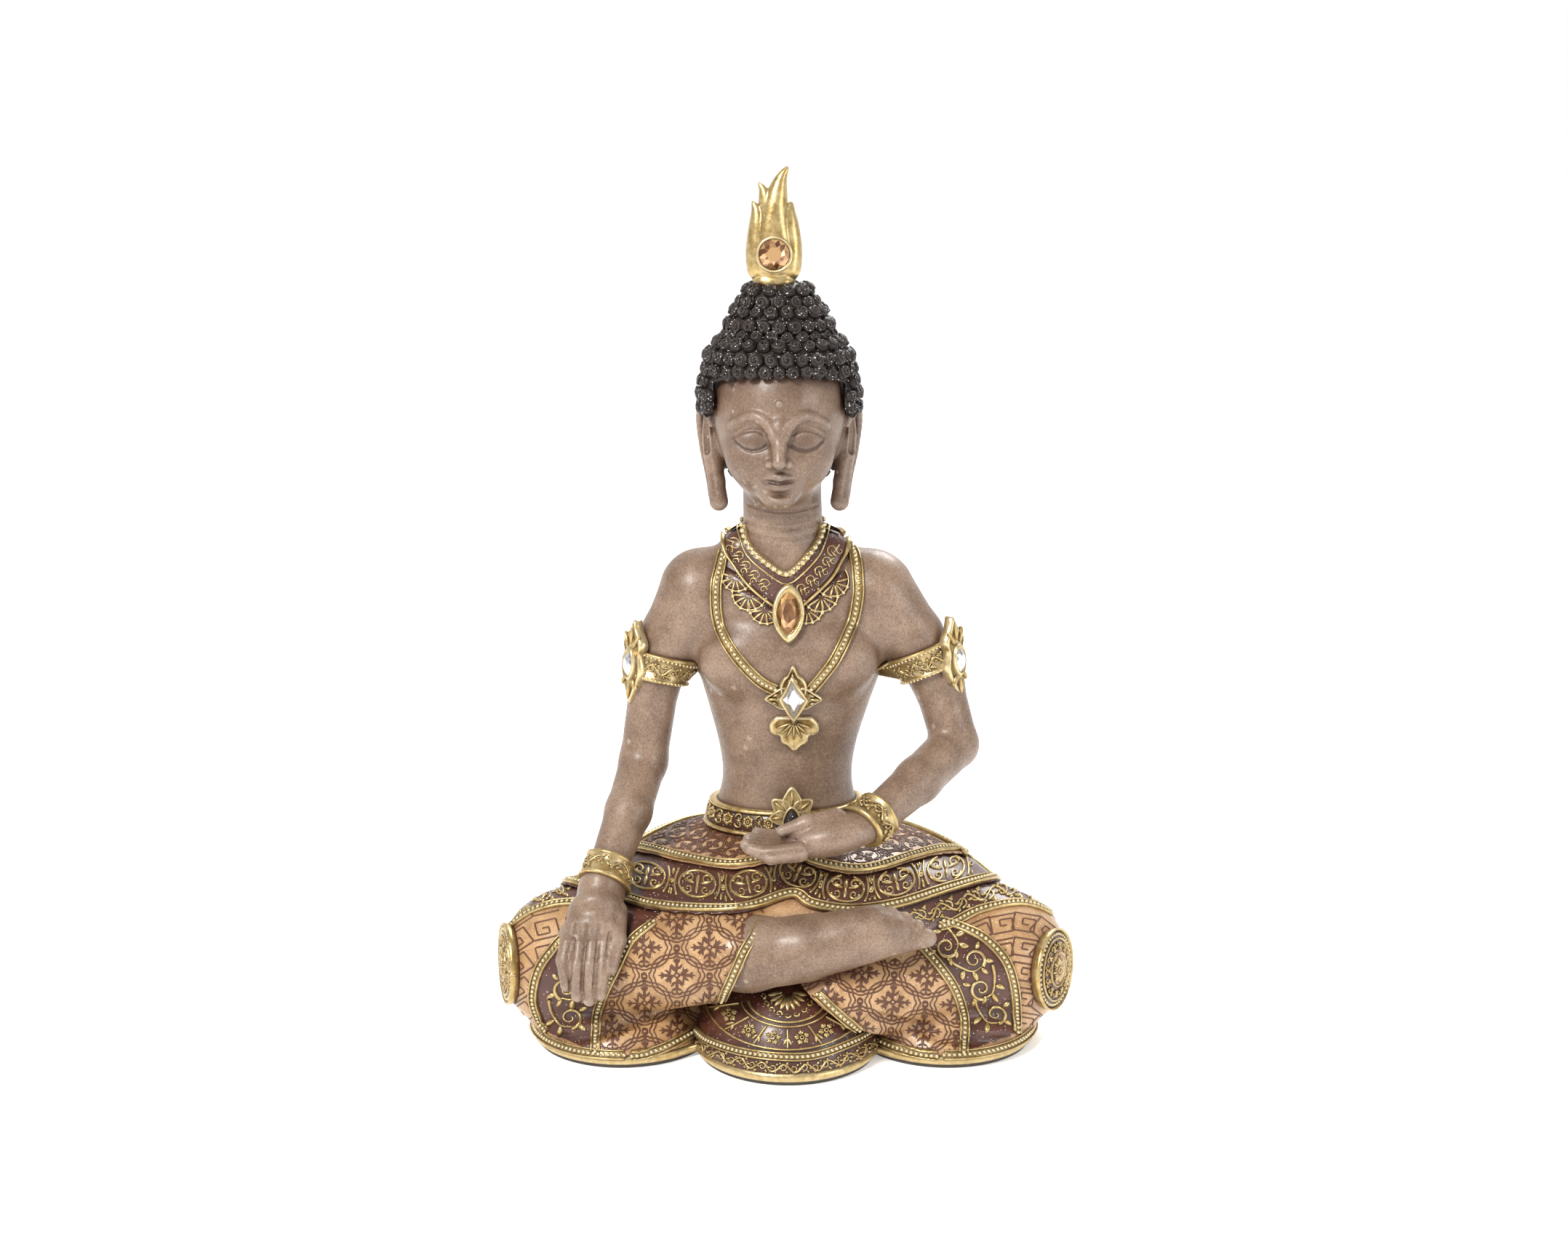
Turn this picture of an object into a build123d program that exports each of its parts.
"""Seated buddha statue: cast, painted sections with applied gilt ornaments and set stones.

Millimetres. +Z is up, -Y is the front that the face looks towards, and +X is the figure's left.
The origin is on the resting plane, at the centre of the footprint.
"""

from build123d import *
from math import asin, cos, pi, radians, sin, sqrt
import os

# Driving dimensions
HEIGHT = 240.0
WIDTH = 160.0
DEPTH = 100.0
FELT = 1.2          # felt sheet under the casting
GLUE = 0.1          # glue line between two pieces
RELIEF = 1.3        # how far an applied ornament stands off the skin
AXIS_Y = 8.0        # the torso stands a little behind the middle of the footprint
LEAN_X = -1.3       # the head leans this far towards the figure's right

# Levels
RIM_TOP = 5.0       # top of the lobed hem that rests on the felt
LAP = 50.0          # where the torso casting stands on the leg casting
NECK_JOINT = 146.0
SHOULDER_JOINT = 26.0
CROWN = 210.8       # where the finial leaves the hair

# Limbs: joint centres and radii
KNEE_R = 20.0
KNEE = (WIDTH / 2 - KNEE_R - RELIEF, -7.0, 20.0)
HIP = (20.0, 16.0, 29.0)
HIP_R = 24.0
ANKLE_UPPER = (-9.0, -37.0, 32.0)
ANKLE_LOWER = (8.0, -33.0, 17.0)
RIGHT_SHOULDER = (-25.5, AXIS_Y, 122.5)
RIGHT_MIDARM = (-32.5, AXIS_Y, 108.0)
RIGHT_ELBOW = (-39.2, 6.0, 75.0)
RIGHT_WRIST = (-48.5, -21.0, 52.0)
RIGHT_KNUCKLE = (-52.5, -33.5, 35.0)
LEFT_SHOULDER = (27.5, AXIS_Y, 122.5)
LEFT_MIDARM = (36.5, AXIS_Y, 109.0)
LEFT_ELBOW = (47.6, 6.0, 79.5)
LEFT_WRIST = (25.5, -21.0, 66.0)
LEFT_KNUCKLE = (5.0, -26.0, 61.5)
SHOULDER_R = 10.2
MIDARM_R = 8.0
ELBOW_R = 6.6
WRIST_R = 5.4

# Torso sections from the lap to the neck joint: level, centre x, centre y, half width, half depth
TORSO = [
    (LAP, 0.0, 9.0, 22.5, 18.0),
    (60.0, 0.2, 9.0, 21.0, 16.0),
    (70.0, 0.9, AXIS_Y, 18.3, 13.2),
    (82.0, 1.0, AXIS_Y, 20.0, 13.6),
    (94.0, 1.2, 7.5, 23.0, 15.4),
    (106.0, 1.2, 7.5, 27.0, 16.4),
    (116.0, 1.0, AXIS_Y, 28.5, 15.8),
    (125.0, 0.5, 9.0, 26.5, 13.4),
    (131.5, 0.3, 9.0, 20.5, 11.6),
    (136.5, 0.0, 8.6, 13.5, 10.2),
    (141.0, -0.2, AXIS_Y, 10.6, 9.6),
    (NECK_JOINT, -0.5, 7.0, 9.8, 9.2),
]


def mirrored(point):
    """The same point on the figure's other side."""
    return (-point[0], point[1], point[2])


def frame_along(start, end):
    """A plane at start whose normal runs towards end."""
    return Plane(origin=start, z_dir=Vector(*end) - Vector(*start))


def profile_face(*edges):
    """A face in the XZ plane bounded by edges drawn as (radius, height)."""
    return Plane.XZ * make_face(Curve() + list(edges))


def cone_line(start, end, r0, r1):
    """Where the straight flank of a tapered limb starts and ends, as (radius, height), and its length."""
    length = (Vector(*end) - Vector(*start)).length
    lean = asin((r0 - r1) / length)
    low = (r0 * cos(lean), r0 * sin(lean))
    high = (r1 * cos(lean), length + r1 * sin(lean))
    return low, high, length, lean


def limb(start, end, r0, r1):
    """A tapered limb with ball ends, as one turned solid."""
    low, high, length, lean = cone_line(start, end, r0, r1)
    below = (lean - pi / 2) / 2
    above = (lean + pi / 2) / 2
    face = profile_face(
        ThreePointArc((0, -r0), (r0 * cos(below), r0 * sin(below)), low),
        Line(low, high),
        ThreePointArc(high, (r1 * cos(above), length + r1 * sin(above)), (0, length + r1)),
        Line((0, length + r1), (0, -r0)),
    )
    return frame_along(start, end) * revolve(face, axis=Axis.Z)


def band(start, end, r0, r1, near, far, thickness=RELIEF):
    """A cuff around a limb between two shares of its length."""
    low, high, length, _ = cone_line(start, end, r0, r1)
    corners = []
    for share, offset in ((near, GLUE), (near, thickness), (far, thickness), (far, GLUE)):
        height = share * length
        flank = low[0] + (high[0] - low[0]) * (height - low[1]) / (high[1] - low[1])
        corners.append((flank + offset, height))
    section = Plane.XZ * make_face(Polyline(*corners, close=True))
    return frame_along(start, end) * revolve(section, axis=Axis.Z)


def ellipsoid(centre, radii):
    """A ball stretched to three radii."""
    return Pos(*centre) * scale(Sphere(1), by=radii)


def slab(z0, z1, size=400.0):
    """Everything between two levels."""
    return Pos(0, 0, (z0 + z1) / 2) * Box(size, size, z1 - z0)


def torso_skin(grow=0.0):
    """The torso loft, with each section grown by the same amount."""
    return loft([Pos(x, y, z) * Ellipse(rx + grow, ry + grow) for z, x, y, rx, ry in TORSO])


def shoulder_yoke():
    """The muscle that slopes from the neck to each shoulder, behind the collar."""
    neck_root = (0, 12.0, 131.0)
    return limb(neck_root, RIGHT_SHOULDER, 8.0, SHOULDER_R) + limb(neck_root, LEFT_SHOULDER, 8.0, SHOULDER_R)


def prism(outline, depth=60.0):
    """An outline drawn as (x, z), pushed through the front half of the figure."""
    face = Plane.XZ * make_face(outline)
    return extrude(face, amount=depth)


def on_chest(outline, thickness, inner=GLUE):
    """A plate of even thickness that follows the front of the torso inside an outline."""
    return (torso_skin(thickness) - torso_skin(inner)) & prism(outline)


# Lower body ---------------------------------------------------------------------------------------

SEAT_LOBE = (0.0, 12.0)             # centre of the hem under the seat
SEAT_LOBE_RADII = (66.0, DEPTH / 2 - 12.0)
SIDE_LOBE = (44.5, -9.5)            # centre of the hem under each knee
SIDE_LOBE_RADII = (26.0, 28.0)
FRONT_LOBE = (1.0, -20.0)           # centre of the apron between the shins
FRONT_LOBE_RADII = (26.0, DEPTH / 2 - 20.0)


def footprint(shrink=0.0):
    """The lobed outline that the figure rests on."""
    lobes = Pos(*SEAT_LOBE) * Ellipse(*(r - shrink for r in SEAT_LOBE_RADII))
    for side in (-1, 1):
        lobes += Pos(side * SIDE_LOBE[0], SIDE_LOBE[1]) * Ellipse(*(r - shrink for r in SIDE_LOBE_RADII))
    return lobes + Pos(*FRONT_LOBE) * Ellipse(*(r - shrink for r in FRONT_LOBE_RADII))


def hem_rim():
    """The flat gilt edge that follows the whole outline."""
    return Pos(0, 0, FELT) * extrude(footprint(), amount=RIM_TOP - FELT - GLUE)


def legs_outer():
    """Seat, thighs and shins as one skin with a flat boss for the torso, cut level at the rim and the lap."""
    body = ellipsoid((0, 18.0, 26.0), (46.0, DEPTH / 2 - 18.0 - 1.0, 25.0))
    _, boss_x, boss_y, boss_rx, boss_ry = TORSO[0]
    boss_foot = 40.0
    body += Pos(boss_x, boss_y, boss_foot) * extrude(Ellipse(boss_rx, boss_ry), amount=LAP - boss_foot)
    for side in (1, -1):
        hip = HIP if side > 0 else mirrored(HIP)
        knee = KNEE if side > 0 else mirrored(KNEE)
        body += limb(hip, knee, HIP_R, KNEE_R)
    body += limb(mirrored(KNEE), ANKLE_UPPER, 16.5, 9.0)
    body += limb(KNEE, ANKLE_LOWER, 16.5, 11.0)
    return body & slab(RIM_TOP, LAP - GLUE)


VENT_R = 8.0
VENT_AT = (0.0, 14.0)
DOWEL_R = 4.0


def leg_casting(outer):
    """The leg casting is hollow: a cavity, a vent through its floor, and a socket for the torso dowel."""
    cavity = ellipsoid((0, 14.0, 22.0), (34.0, 20.0, 14.0))
    vent = Pos(*VENT_AT, RIM_TOP) * Cylinder(VENT_R, 20.0)
    socket = Pos(0, AXIS_Y, LAP) * Cylinder(DOWEL_R + GLUE, 22.0)
    return outer - cavity - vent - socket


def largest(shape):
    """The biggest solid of a cut shape, without the slivers left beside it."""
    return shape.solids().sort_by(SortBy.VOLUME)[-1]


def drape(centre, radii, legs):
    """Cloth that spreads from the shins onto the rim: the part of a low dome that the legs leave showing."""
    return (ellipsoid(centre, radii) & slab(RIM_TOP, LAP)) - legs


def skirt_tier(top, bottom, legs):
    """One overlapping tier of the waist cloth: a cone around the lap, open in the middle for the torso."""
    (z_top, rx_top, ry_top), (z_low, rx_low, ry_low) = top, bottom
    cone = loft([
        Pos(0, AXIS_Y, z_low) * Ellipse(rx_low, ry_low),
        Pos(0, AXIS_Y, z_top) * Ellipse(rx_top, ry_top),
    ])
    _, x, y, rx, ry = TORSO[0]
    room = 2.6      # the torso swells a little between its lowest sections
    opening = Pos(x, y, LAP - 20.0) * extrude(Ellipse(rx + room, ry + room), amount=40.0)
    return cone - opening - legs


def knee_medallion(side, towards_front):
    """A round boss on the outside of a knee: a turned cap that fits the ball of the knee."""
    centre = KNEE if side > 0 else mirrored(KNEE)
    angle = radians(towards_front)
    outward = Vector(side * cos(angle), -sin(angle), 0)
    disc_r, inner, outer = 12.0, KNEE_R + GLUE, KNEE_R + RELIEF
    half = asin(disc_r / inner) / 2
    inner_edge, outer_edge = sqrt(inner ** 2 - disc_r ** 2), sqrt(outer ** 2 - disc_r ** 2)
    face = profile_face(
        ThreePointArc((0, inner), (inner * sin(half), inner * cos(half)), (disc_r, inner_edge)),
        Line((disc_r, inner_edge), (disc_r, outer_edge)),
        ThreePointArc((disc_r, outer_edge), (outer * sin(half), outer * cos(half)), (0, outer)),
        Line((0, outer), (0, inner)),
    )
    return Plane(origin=centre, z_dir=outward) * revolve(face, axis=Axis.Z)


def right_foot():
    """The bare foot that lies on the opposite calf, toes towards the figure's left knee."""
    heel, ball = (-6.0, -41.0, 37.0), (29.0, -36.0, 42.0)
    foot = limb(heel, ball, 8.0, 6.0)
    toe_tips = 5
    for index in range(toe_tips):
        spread = index / (toe_tips - 1)
        root = (31.0, -38.0 + 6.0 * spread, 38.5 + 6.0 * spread)
        tip = (39.0 - 4.0 * spread, -37.5 + 5.0 * spread, 38.5 + 7.0 * spread)
        foot += limb(root, tip, 2.1, 1.5)
    return foot


# Arms ---------------------------------------------------------------------------------------------

def fingers(knuckles, tips, radius):
    """Four fingers side by side, from a row of knuckles to a row of tips."""
    made = None
    count = 4
    for index in range(count):
        share = index / (count - 1)
        root = tuple(a + (b - a) * share for a, b in zip(*knuckles))
        tip = tuple(a + (b - a) * share for a, b in zip(*tips))
        finger = limb(root, tip, radius, radius * 0.75)
        made = finger if made is None else made + finger
    return made


def arm(shoulder, midarm, elbow, wrist, knuckle, hand):
    """An arm casting, cut flat where it is glued to the torso."""
    made = limb(shoulder, midarm, SHOULDER_R, MIDARM_R) + limb(midarm, elbow, MIDARM_R + 0.1, ELBOW_R)
    made += limb(elbow, wrist, ELBOW_R + 0.2, WRIST_R)
    made += limb(wrist, knuckle, WRIST_R, WRIST_R - 0.6) + hand
    side = 1 if shoulder[0] > 0 else -1
    outside = Pos(side * (SHOULDER_JOINT + GLUE + 100.0), 0, 0) * Box(200.0, 200.0, 300.0)
    hand_zone = Pos(0, -60.0, 50.0) * Box(300.0, 90.0, 80.0)
    return made & (outside + hand_zone)


def right_hand():
    """Fingers that point down over the knee, and the thumb."""
    roots = ((-59.5, -35.0, 34.0), (-47.5, -36.0, 35.0))
    tips = ((-59.0, -41.5, 23.0), (-50.0, -42.5, 20.5))
    four = fingers(roots, tips, 2.5)
    return four + limb((-45.5, -32.0, 40.0), (-44.8, -40.5, 29.0), 2.6, 1.9)


def left_hand():
    """Fingers that lie flat in front of the belly, palm up, and the thumb."""
    four = fingers(((6.0, -19.0, 61.0), (4.0, -34.0, 60.0)), ((-7.5, -20.0, 62.0), (-9.0, -31.0, 61.5)), 2.5)
    return four + limb((12.0, -22.0, 66.0), (0.0, -21.0, 66.5), 2.6, 1.9)


# Head ---------------------------------------------------------------------------------------------

SKULL = (LEAN_X, 3.0, 174.0)
SKULL_RADII = (17.5, 20.0, 21.0)
JAW = (LEAN_X, 0.5, 163.0)
JAW_RADII = (14.0, 17.5, 14.0)


def head_casting():
    head = ellipsoid(SKULL, SKULL_RADII) + ellipsoid(JAW, JAW_RADII)
    upright = (Align.CENTER, Align.CENTER, Align.MIN)
    head += Pos(LEAN_X / 2, 7.0, NECK_JOINT) * Cylinder(9.6, 24.0, align=upright)
    for side in (-1, 1):
        head += limb((LEAN_X + side * 19.3, 7.5, 170.0), (LEAN_X + side * 18.2, 6.5, 149.0), 3.6, 2.4)
    socket = Pos(LEAN_X / 2, 7.0, NECK_JOINT) * Cylinder(3.0 + GLUE, 20.0)
    return head & slab(NECK_JOINT, HEIGHT) - socket


def hair_cap(head):
    """The curled hair as a cap over the skull, with the raised bun on top and the finial's socket."""
    cap = ellipsoid((LEAN_X, 6.0, 178.0), (22.3, 22.0, 21.0))
    cap += ellipsoid((LEAN_X, 6.0, 199.0), (13.6, 13.6, 12.6))
    face_opening = Pos(LEAN_X, -30.0, 165.0) * Box(31.0, 50.0, 40.0)
    ear_opening = Pos(LEAN_X, 0.0, 153.0) * Box(60.0, 60.0, 40.0)
    socket = Pos(FINIAL_X, FINIAL_Y, CROWN) * Cylinder(PEG_R + GLUE, 14.0)
    top = slab(NECK_JOINT, CROWN - GLUE)
    return (cap & top) - face_opening - ear_opening - head - socket


# Finial -------------------------------------------------------------------------------------------

FINIAL_X, FINIAL_Y = -2.5, 4.0
FINIAL_HALF = 3.2   # half its thickness
PEG_R = 2.0
STONE_Z = 217.3     # level of the round stone
STONE_R = 4.1


def finial_outline():
    """Flame outline, clockwise from the foot: the bulb's left flank, four prongs, and its right flank."""
    left = Spline((-5.4, CROWN), (-7.4, 216.5), (-6.6, 221.5), (-5.4, 226.0), (-5.6, 231.2))
    right = Spline((4.8, 231.0), (4.7, 227.0), (6.6, 221.5), (7.6, 216.5), (5.6, CROWN))
    left_prong = Spline(left @ 1, (-4.9, 231.1), (-3.8, 230.8))
    middle = Spline((-3.8, 230.8), (-3.3, 233.0), (-4.1, 236.0))
    middle_prong = Spline((-4.1, 236.0), (-2.6, 235.8), (-0.9, 235.6))
    tall_left = Spline((-0.9, 235.6), (1.2, 238.4), (4.0, HEIGHT))
    tall_right = Spline((4.0, HEIGHT), (3.1, 235.5), (3.1, 231.2))
    right_prong = Line((3.1, 231.2), (4.8, 231.0))
    foot = Line((5.6, CROWN), (-5.4, CROWN))
    return Curve() + [left, left_prong, middle, middle_prong, tall_left, tall_right, right_prong, right, foot]


def stone(sides, across, up, thickness, rim=0.45):
    """A flat-backed cut stone lying in the XY plane: a low girdle and a tapered crown."""
    outline = scale(RegularPolygon(1.0, sides), by=(across, up, 1))
    table = scale(RegularPolygon(1.0, sides), by=(across * 0.5, up * 0.5, 1))
    girdle = extrude(outline, amount=rim)
    crown = loft([Pos(0, 0, rim) * outline, Pos(0, 0, thickness) * table])
    return girdle + crown


def facing_front(at):
    """A plane at a point, whose X runs to the figure's left and whose normal faces the front."""
    return Plane(origin=at, x_dir=(1, 0, 0), z_dir=(0, -1, 0))


def flame_finial():
    face = Plane.XZ * make_face(finial_outline())
    plate = Pos(FINIAL_X, FINIAL_Y + FINIAL_HALF, 0) * extrude(face, amount=2 * FINIAL_HALF)
    peg = Pos(FINIAL_X, FINIAL_Y, CROWN - 3.0) * Cylinder(PEG_R, 6.0 + GLUE)
    seat = facing_front((FINIAL_X, FINIAL_Y - FINIAL_HALF + 1.2, STONE_Z)) * Cylinder(
        STONE_R + GLUE, 4.0, align=(Align.CENTER, Align.CENTER, Align.MIN)
    )
    return plate + peg - seat


# Ornaments on the torso ---------------------------------------------------------------------------

BELT_LOW, BELT_HIGH = 60.0, 69.0
SETTING = 1.6       # thickness of the plates that carry stones
COLLAR_STONE = (1.6, 120.5)
PENDANT = (2.2, 96.5)


def collar_outline():
    """A wide V with scalloped lower edges, drawn in the front view."""
    inner = [(-10.6, 143.5), (0.6, 130.0), (10.6, 143.5)]
    outer = [(17.6, 134.0), (14.0, 121.0), (7.0, 114.5), (1.6, 112.0)]
    outer += [(-4.5, 114.5), (-12.0, 121.0), (-17.2, 134.0)]
    return Polyline(*inner, *outer, close=True)


def chain_outline():
    """A long loop that hangs from the collar's sides to the pendant."""
    left_out = Spline((-16.4, 133.0), (-17.6, 121.0), (-11.0, 108.0), (-2.2, 98.5))
    right_out = Spline((5.6, 98.5), (14.6, 108.0), (19.8, 121.0), (18.0, 133.0))
    right_in = Spline((15.6, 133.0), (17.2, 121.0), (12.2, 109.5), (5.0, 102.5))
    left_in = Spline((-1.4, 102.5), (-9.0, 109.5), (-15.0, 121.0), (-14.0, 133.0))
    joins = [Line((-2.2, 98.5), (5.6, 98.5)), Line((18.0, 133.0), (15.6, 133.0))]
    joins += [Line((5.0, 102.5), (-1.4, 102.5)), Line((-14.0, 133.0), (-16.4, 133.0))]
    return Curve() + [left_out, right_out, right_in, left_in] + joins


def star(centre, half_width, top, bottom, waist=0.45):
    """A four-pointed plate outline around a centre, in the front view."""
    x, z = centre
    points = []
    for dx, dz in ((0, top), (waist, top * waist), (1, 0), (waist, -bottom * waist),
                   (0, -bottom), (-waist, -bottom * waist), (-1, 0), (-waist, top * waist)):
        points.append((x + dx * half_width, z + dz))
    return Polyline(*points, close=True)


def chest_front(z):
    """How far forward the torso's skin comes at a level, by the loft's own sections."""
    for (z0, _, y0, _, d0), (z1, _, y1, _, d1) in zip(TORSO, TORSO[1:]):
        if z0 <= z <= z1:
            share = (z - z0) / (z1 - z0)
            return (y0 - d0) + ((y1 - d1) - (y0 - d0)) * share
    raise ValueError(z)


def waist_belt():
    """A ring around the waist, between two levels."""
    return (torso_skin(RELIEF) - torso_skin(GLUE)) & slab(BELT_LOW, BELT_HIGH)


def stone_on_chest(centre, half, thickness):
    """A lozenge stone square to the torso's skin, half sunk in its setting, and the pocket it sits in."""
    x, z = centre
    reach = 4.0
    y = chest_front(z) - RELIEF - SETTING / 2
    slope = (chest_front(z + reach) - chest_front(z - reach)) / (2 * reach)
    plane = Plane(origin=(x, y, z), x_dir=(1, 0, 0), z_dir=(0, -1, slope))
    pocket = scale(RegularPolygon(1.0, 4), by=(half[0] + GLUE, half[1] + GLUE, 1))
    return plane * stone(4, *half, thickness), plane * Pos(0, 0, -GLUE) * extrude(pocket, amount=2 * SETTING)


def armlet_plaque(midarm, elbow, share, outward):
    """A leaf-shaped plate on the outside of an armlet, and its stone."""
    a, b = Vector(*midarm), Vector(*elbow)
    axis = (b - a).normalized()
    side = (Vector(*outward) - axis * Vector(*outward).dot(axis)).normalized()
    radius = MIDARM_R + (ELBOW_R - MIDARM_R) * share + RELIEF + 0.6
    at = a + (b - a) * share + side * radius
    plane = Plane(origin=at, x_dir=axis.cross(side), z_dir=side)
    leaf = make_face(Curve() + [
        Spline((0, 11.5), (3.4, 4.0), (4.6, -1.5), (0, -11.0)),
        Spline((0, -11.0), (-4.6, -1.5), (-3.4, 4.0), (0, 11.5)),
    ])
    plaque = plane * extrude(leaf, amount=SETTING)
    gem = plane * Pos(0, -1.0, SETTING + GLUE) * stone(4, 1.9, 4.2, 1.3)
    return plaque, gem


# Assembly -----------------------------------------------------------------------------------------

def dowel(at, radius, length, direction=(0, 0, 1)):
    """A plain pin centred on a point."""
    return Plane(origin=at, z_dir=direction) * Cylinder(radius, length)


def build():
    parts = {}
    legs = legs_outer()
    torso_block = torso_skin()
    head = head_casting()

    parts["base_felt"] = extrude(footprint(1.5), amount=FELT - GLUE / 2)
    rim = hem_rim()
    parts["hem_rim"] = rim - Pos(*VENT_AT, 0) * Cylinder(VENT_R + GLUE, 30.0)
    plug_length = 8.0
    parts["vent_plug"] = Pos(*VENT_AT, FELT + plug_length / 2) * Cylinder(VENT_R - GLUE, plug_length)

    arms = {
        "right_arm": arm(
            RIGHT_SHOULDER, RIGHT_MIDARM, RIGHT_ELBOW, RIGHT_WRIST, RIGHT_KNUCKLE, right_hand()
        ),
        "left_arm": arm(LEFT_SHOULDER, LEFT_MIDARM, LEFT_ELBOW, LEFT_WRIST, LEFT_KNUCKLE, left_hand()),
    }
    foot = right_foot()
    parts["leg_casting"] = leg_casting(legs) - arms["right_arm"] - foot
    parts["right_foot"] = foot
    parts["front_apron"] = drape((*FRONT_LOBE, 0), (*FRONT_LOBE_RADII, 24.0), legs) - foot
    for side, name in ((-1, "right"), (1, "left")):
        lobe = drape((side * SIDE_LOBE[0], SIDE_LOBE[1], 0), (*SIDE_LOBE_RADII, 15.0), legs)
        parts[name + "_hem_drape"] = largest(lobe - parts["front_apron"] - arms["right_arm"])
    behind = Pos(0, 100.0 + GLUE, 0) * Box(400, 200, 400)
    seat = drape((*SEAT_LOBE, 0), (*SEAT_LOBE_RADII, 26.0), legs) & behind
    seat = seat - parts["left_hem_drape"] - parts["right_hem_drape"] - parts["front_apron"]
    parts["seat_hem_drape"] = largest(seat)

    tiers = {
        "skirt_upper_tier": skirt_tier((BELT_LOW - GLUE, 27.5, 22.5), (52.0, 39.5, 29.0), legs),
        "skirt_lower_tier": skirt_tier((52.0 - GLUE, 39.5, 29.0), (44.0, 54.0, 38.0), legs),
    }
    for name, tier in tiers.items():
        parts[name] = tier - arms["right_arm"] - arms["left_arm"]

    yoke = shoulder_yoke()
    torso = (torso_block + yoke) & Box(2 * SHOULDER_JOINT, 200.0, 600.0)
    joints = ((LAP, 0, AXIS_Y, 22.0, DOWEL_R), (NECK_JOINT, LEAN_X / 2, 7.0, 20.0, 3.0))
    for z, x, y, length, radius in joints:
        torso -= Pos(x, y, z) * Cylinder(radius + GLUE, length)
    for shoulder in (RIGHT_SHOULDER, LEFT_SHOULDER):
        side = 1 if shoulder[0] > 0 else -1
        at = (side * SHOULDER_JOINT, AXIS_Y, 118.0)
        socket = dowel(at, 2.5 + GLUE, 14.0, (1, 0, 0))
        torso -= socket
        name = "left_arm" if side > 0 else "right_arm"
        parts[name] = arms[name] - socket
    parts["torso_casting"] = torso
    parts["shoulder_dowels"] = Compound(children=[
        dowel((side * SHOULDER_JOINT, AXIS_Y, 118.0), 2.5, 13.0, (1, 0, 0)) for side in (-1, 1)
    ])
    parts["waist_dowel"] = dowel((0, AXIS_Y, LAP), DOWEL_R, 21.0)
    parts["neck_dowel"] = dowel((LEAN_X / 2, 7.0, NECK_JOINT), 3.0, 19.0)

    parts["head_casting"] = head
    parts["hair_cap"] = hair_cap(head)
    parts["flame_finial"] = flame_finial()
    parts["finial_stone"] = facing_front((FINIAL_X, FINIAL_Y - FINIAL_HALF + 1.1, STONE_Z)) * stone(
        12, STONE_R, STONE_R, 2.4
    )

    collar = on_chest(collar_outline(), RELIEF) - yoke
    chain = on_chest(chain_outline(), RELIEF) - yoke - prism(collar_outline())
    over = RELIEF + GLUE
    pendant = on_chest(star(PENDANT, 7.2, 9.6, 12.5), RELIEF + SETTING, over)
    setting = on_chest(star(COLLAR_STONE, 3.9, 7.6, 7.6, 0.62), RELIEF + SETTING, over)
    parts["pendant_stone"], pendant_pocket = stone_on_chest(PENDANT, (2.0, 3.9), 1.6)
    parts["collar_stone"], collar_pocket = stone_on_chest(COLLAR_STONE, (2.5, 5.6), 2.0)
    parts["collar"] = collar - collar_pocket
    parts["long_chain"] = chain - pendant_pocket
    parts["chest_pendant"] = pendant - pendant_pocket
    parts["collar_stone_setting"] = setting - collar_pocket

    buckle = on_chest(star((1.8, 66.0), 5.6, 6.4, 4.6, 0.6), RELIEF + SETTING, over)
    parts["waist_belt"] = waist_belt() - arms["left_arm"]
    parts["belt_buckle"] = buckle - arms["left_arm"]

    armlet_from, armlet_to = 0.06, 0.36
    for name, midarm, elbow, outward in (
        ("right", RIGHT_MIDARM, RIGHT_ELBOW, (-1, -0.25, 0)),
        ("left", LEFT_MIDARM, LEFT_ELBOW, (1, -0.35, 0)),
    ):
        armlet = band(midarm, elbow, MIDARM_R + 0.1, ELBOW_R, armlet_from, armlet_to)
        parts[name + "_armlet"] = armlet - torso_skin(GLUE)
        plaque, gem = armlet_plaque(midarm, elbow, (armlet_from + armlet_to) / 2, outward)
        parts[name + "_armlet_plaque"] = plaque
        parts[name + "_armlet_stone"] = gem
    for name, elbow, wrist in (("right", RIGHT_ELBOW, RIGHT_WRIST), ("left", LEFT_ELBOW, LEFT_WRIST)):
        cuff = band(elbow, wrist, ELBOW_R + 0.2, WRIST_R, 0.76, 0.96)
        parts[name + "_bracelet"] = cuff - arms[name + "_arm"] - tiers["skirt_upper_tier"]

    parts["right_knee_medallion"] = knee_medallion(-1, 12.0)
    parts["left_knee_medallion"] = knee_medallion(1, 22.0)
    return parts


def main():
    os.makedirs("parts", exist_ok=True)
    for name, shape in build().items():
        export_step(shape, f"parts/{name}.step")


main()
